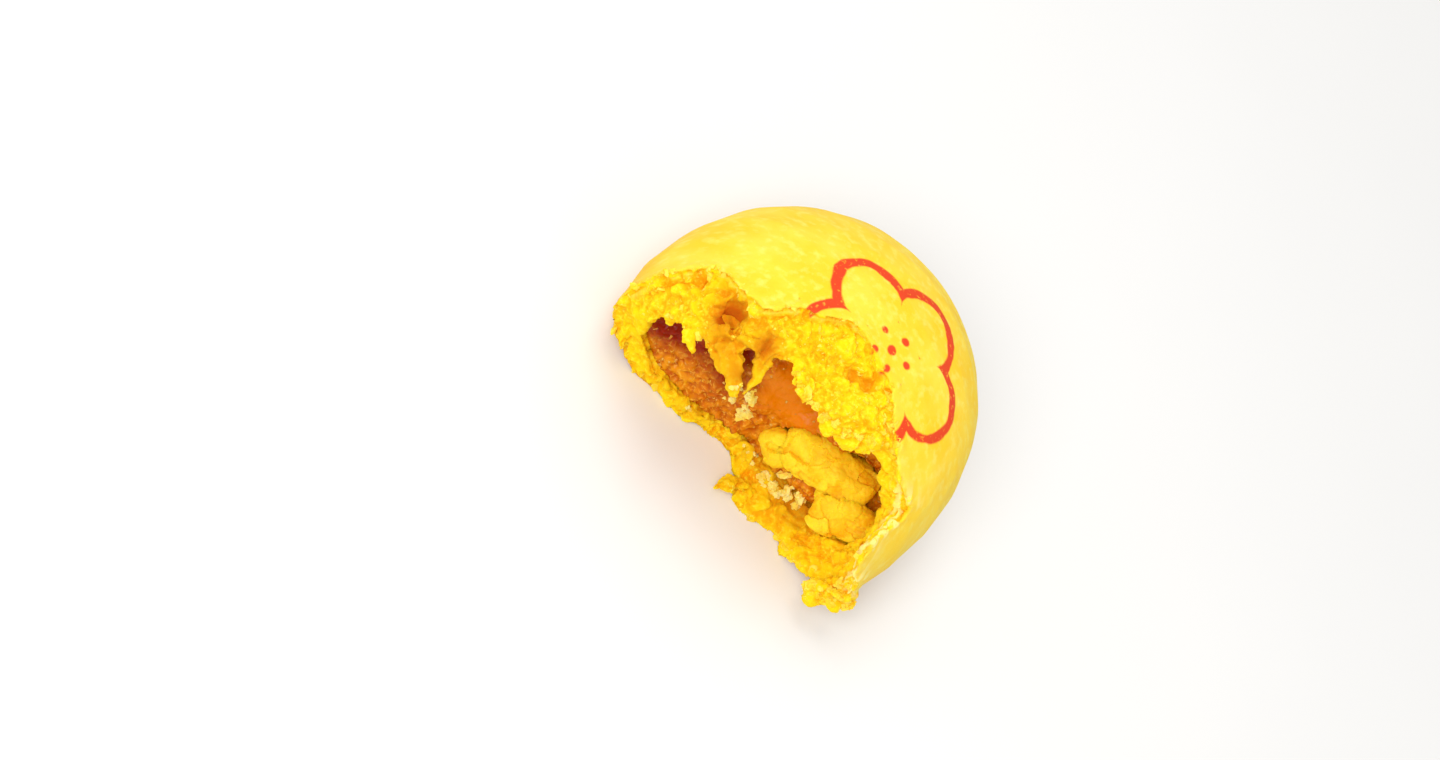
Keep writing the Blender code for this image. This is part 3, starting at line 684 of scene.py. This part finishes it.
loose = dict(
    clumps=dict(count=120, sizes=(0.5, 1.3), detail=2, sunk=0.3, flat=0.7, seed=11),
    grains=dict(count=800, sizes=(0.18, 0.45), detail=1, sunk=0.2, flat=0.8, seed=12),
    flakes=dict(count=200, sizes=(0.6, 1.6), detail=1, sunk=0.1, flat=0.2, seed=13),
    fruit=dict(count=900, sizes=(0.25, 0.9), detail=1, sunk=0.2, flat=0.85, seed=14),
    pale=dict(
        sizes=(0.5, 1.5), detail=2, sunk=0.0, flat=0.7, seed=15,
        rows=(
            ((750, 395), 2, 8), ((752, 401), 2, 9), ((747, 409), 3, 9), ((742, 416), 3, 11),
            ((735, 388), 3, 5), ((734, 400), 2, 5), ((764, 479), 3, 9), ((773, 486), 3, 11),
            ((784, 494), 4, 14), ((797, 498), 3, 10), ((788, 476), 3, 3), ((700, 406), 10, 4),
            ((752, 455), 5, 6))),
    edge=dict(
        sizes=(0.6, 1.6), detail=2, sunk=0.15, flat=0.75, seed=16,
        rows=(
            ((799, 372), 2, 4), ((798, 386), 2, 4), ((806, 396), 2, 4), ((816, 405), 2, 5),
            ((824, 416), 2, 5), ((834, 424), 2, 5), ((846, 431), 2, 5), ((858, 437), 2, 5),
            ((870, 441), 2, 5), ((672, 316), 2, 3), ((660, 322), 2, 3), ((700, 338), 2, 3),
            ((812, 586), 4, 8), ((826, 596), 7, 12), ((840, 588), 6, 8), ((822, 608), 6, 8),
            ((842, 606), 5, 6))),
    thickFrom=1.8, tornBack=4.0, grainyFrom=(3.0, 7.0), crumbPatch=1.3, fruitPatch=1.5,
    # paleLit colours are pale crumb, painted paler still as painted light where they lie in shade
    crumb="#FACA26", crumbLight="#FDE050", paleLit="#FCD854", paleLitLight="#FDE88A",
    fruitBead="#D27A10", fruitLight="#F2BE5A")


def addBit(shape, draw, centre, normal, kind):
    size = (kind["sizes"][0] + (kind["sizes"][1] - kind["sizes"][0]) * draw.random() ** 2.5) * mm
    turn = normal.to_track_quat("Z", "Y").to_matrix().to_4x4()
    turn = turn @ Matrix.Rotation(draw.uniform(0, math.tau), 4, "Z")
    length, width, depth = draw.uniform(0.7, 1.4), draw.uniform(0.6, 1.0), draw.uniform(0.7, 1.2)
    stretch = Matrix.Diagonal((length, width, kind["flat"] * depth, 1.0))
    place = Matrix.Translation(centre - normal * size * kind["sunk"]) @ turn @ stretch
    made = bmesh.ops.create_icosphere(shape, subdivisions=kind["detail"], radius=size * 0.5,
                                      matrix=place)
    for vert in made["verts"]:
        vert.co = inBox(vert.co + Vector([draw.uniform(-0.17, 0.17) * size for axis in range(3)]))


def joinedBits(name, places, draw, kind):  # made a few at a time: operators slow down on a large mesh
    whole = bmesh.new()
    batch = 40
    for first in range(0, len(places), batch):
        shape = bmesh.new()
        for centre, normal in places[first:first + batch]:
            addBit(shape, draw, centre, normal, kind)
        bmesh.ops.recalc_face_normals(shape, faces=shape.faces)
        few = bpy.data.meshes.new(name)
        shape.to_mesh(few)
        shape.free()
        whole.from_mesh(few)
        bpy.data.meshes.remove(few)
    return addPiece(name, whole)


def scatter(name, carrier, kind, wanted):  # bits set on the carrier, more where wanted is near 1
    draw = random.Random(kind["seed"])
    faces = [(Vector(face.center), Vector(face.normal), face.area) for face in carrier.data.polygons]
    chances = [area * wanted(centre, normal) for centre, normal, area in faces]
    chosen = draw.choices(faces, chances, k=kind["count"])
    return joinedBits(name, [(centre, normal) for centre, normal, area in chosen], draw, kind)


def dropped(name, carriers, kind):  # bits where the photo shows them, on the nearest carrier
    draw = random.Random(kind["seed"])
    places = []
    for (x, y), spread, count in kind["rows"]:
        places += [seenAt(draw.gauss(x, spread), draw.gauss(y, spread * 0.7), carriers)
                   for bit in range(count)]
    return joinedBits(name, [place for place in places if place], draw, kind)


soakedAndShadedSpots = spotsOn(crustPiece, crust["stainAndShadeSpots"])


def tornShare(centre, normal):
    angle, y = onPastry(centre)[:2]
    behind = y - tearAt(angle)
    if thickness(crustPiece, centre, normal) < loose["thickFrom"] or y > loose["tornBack"]:
        return 0.0
    return ease(-0.2, -0.8, behind) * ease(0.6, 0.2, bumps(centre, soakedAndShadedSpots))


def edgeShare(centre, normal):
    angle, y, depth = onPastry(centre)
    behind = y - tearAt(angle)
    return ease(1.2, 0.2, abs(behind + 0.3)) * ease(2.0, 1.0, depth)


def fruitShare(centre, normal):
    q = (centre - pastryCentre) / mm
    middle = fruit["smoothMiddle"]
    grainy = ease(*loose["grainyFrom"], math.hypot(q.x - middle[0], q.z - middle[1]))
    covered = crustPiece.ray_cast(centre, normal, distance=fruit["open"][1] * mm)[0]
    return 0.0 if covered else 0.05 + grainy


def looseCrumb(name, deep, pale):
    # Crumbs rubbed off short pastry: dry and matt, paler than the crumb they came from
    finish = {"Roughness": 0.85, "IOR": 1.4, "Specular IOR Level": 0.2, "Subsurface Weight": 0.3,
              "Subsurface Radius": (1.0, 0.55, 0.12), "Subsurface Scale": 0.6 * mm}
    material, tree, shader = newMaterial(name, finish)
    place = addNode(tree, "TexCoord", {}, {}).outputs["Object"]
    patches = addNode(tree, "TexNoise", {"Scale": 1.0 / (loose["crumbPatch"] * mm), "Detail": 2.0},
                      {"Vector": place})
    light = addNode(tree, "MapRange", {1: 0.4, 2: 0.6}, {0: patches})
    colour = addNode(tree, "Mix", {"data_type": "RGBA", 6: deep, 7: pale}, {0: light})
    tree.links.new(colour.outputs[2], shader.inputs["Base Color"])
    return material


def candiedGrain():
    # Grains of fruit boiled in syrup: small glossy amber beads that catch the light
    finish = {"Roughness": 0.15, "IOR": 1.44, "Subsurface Weight": 0.5,
              "Subsurface Radius": (1.0, 0.4, 0.06), "Subsurface Scale": 0.5 * mm}
    material, tree, shader = newMaterial("candiedGrain", finish)
    place = addNode(tree, "TexCoord", {}, {}).outputs["Object"]
    patches = addNode(tree, "TexNoise", {"Scale": 1.0 / (loose["fruitPatch"] * mm), "Detail": 2.0},
                      {"Vector": place})
    light = addNode(tree, "MapRange", {1: 0.4, 2: 0.65}, {0: patches})
    colour = addNode(tree, "Mix", {"data_type": "RGBA", 6: loose["fruitBead"], 7: loose["fruitLight"]},
                     {0: light})
    tree.links.new(colour.outputs[2], shader.inputs["Base Color"])
    return material


crumbLook = looseCrumb("looseCrumb", loose["crumb"], loose["crumbLight"])
# Pale crumbs on the filling, painted paler still: painted light in the shaded hollow
paleLook = looseCrumb("paleLitCrumb", loose["paleLit"], loose["paleLitLight"])
carriers = [crustPiece, fillingPiece, *custardPieces]
for bits, look in ((scatter("crumb_clumps", crustPiece, loose["clumps"], tornShare), crumbLook),
                   (scatter("crumb_grains", crustPiece, loose["grains"], tornShare), crumbLook),
                   (scatter("crust_flakes", crustPiece, loose["flakes"], edgeShare), crumbLook),
                   (dropped("crumbs_on_filling", carriers, loose["pale"]), paleLook),
                   (dropped("crumbs_on_edge", [crustPiece], loose["edge"]), crumbLook)):
    finishPiece(bits, look, "baked_crust")
    bits.data.shade_flat()
fruitGrains = scatter("fruit_grains", fillingPiece, loose["fruit"], fruitShare)
finishPiece(fruitGrains, candiedGrain(), "pineapple_jam")


# Floor and light: a pale board under soft studio light

studio = dict(
    world=0.72, mirrored=0.2, key=1.0, keyFrom=(-0.36, 0.0, 0.93), fill=2.0,
    fillFrom=(-0.12, -0.68, 0.72), away=0.6, size=0.32, patch=60.0, board="#E9E8E6",
    boardLight="#EDECEA")


def makeFloor():
    shape = bmesh.new()
    bmesh.ops.create_grid(shape, x_segments=8, y_segments=8, size=1.5)
    floor = addPiece("floor", shape)
    # Board painted a matt off-white: nearly plain, so that only the soft shadow shows on it
    material, tree, shader = newMaterial("paleBoard", {"Roughness": 0.6})
    place = addNode(tree, "TexCoord", {}, {}).outputs["Object"]
    patches = addNode(tree, "TexNoise", {"Scale": 1.0 / (studio["patch"] * mm), "Detail": 2.0},
                      {"Vector": place})
    tint = addNode(tree, "Mix", {"data_type": "RGBA", 6: studio["board"], 7: studio["boardLight"]},
                   {0: patches})
    tree.links.new(tint.outputs[2], shader.inputs["Base Color"])
    floor.data.materials.append(material)


def addLamp(name, toward, power):
    data = bpy.data.lights.new(name, "AREA")
    data.shape = "DISK"
    data.size = studio["size"]
    data.energy = power
    lamp = bpy.data.objects.new(name, data)
    direction = Vector(toward).normalized()
    lamp.location = pastryCentre + direction * studio["away"]
    lamp.rotation_euler = direction.to_track_quat("Z", "Y").to_euler()
    bpy.context.scene.collection.objects.link(lamp)


def makeLight():
    addLamp("key", studio["keyFrom"], studio["key"])
    addLamp("fill", studio["fillFrom"], studio["fill"])
    world = bpy.data.worlds.new("studio")
    world.use_nodes = True
    backdrop = world.node_tree.nodes["Background"]
    backdrop.inputs["Color"].default_value = (1.0, 1.0, 1.0, 1.0)
    path = addNode(world.node_tree, "LightPath", {}, {}).outputs["Is Glossy Ray"]
    strength = addNode(world.node_tree, "MapRange", {3: studio["world"], 4: studio["mirrored"]},
                       {0: path})
    world.node_tree.links.new(strength.outputs[0], backdrop.inputs["Strength"])
    bpy.context.scene.world = world
    print("floor and light placed")


makeFloor()
makeLight()
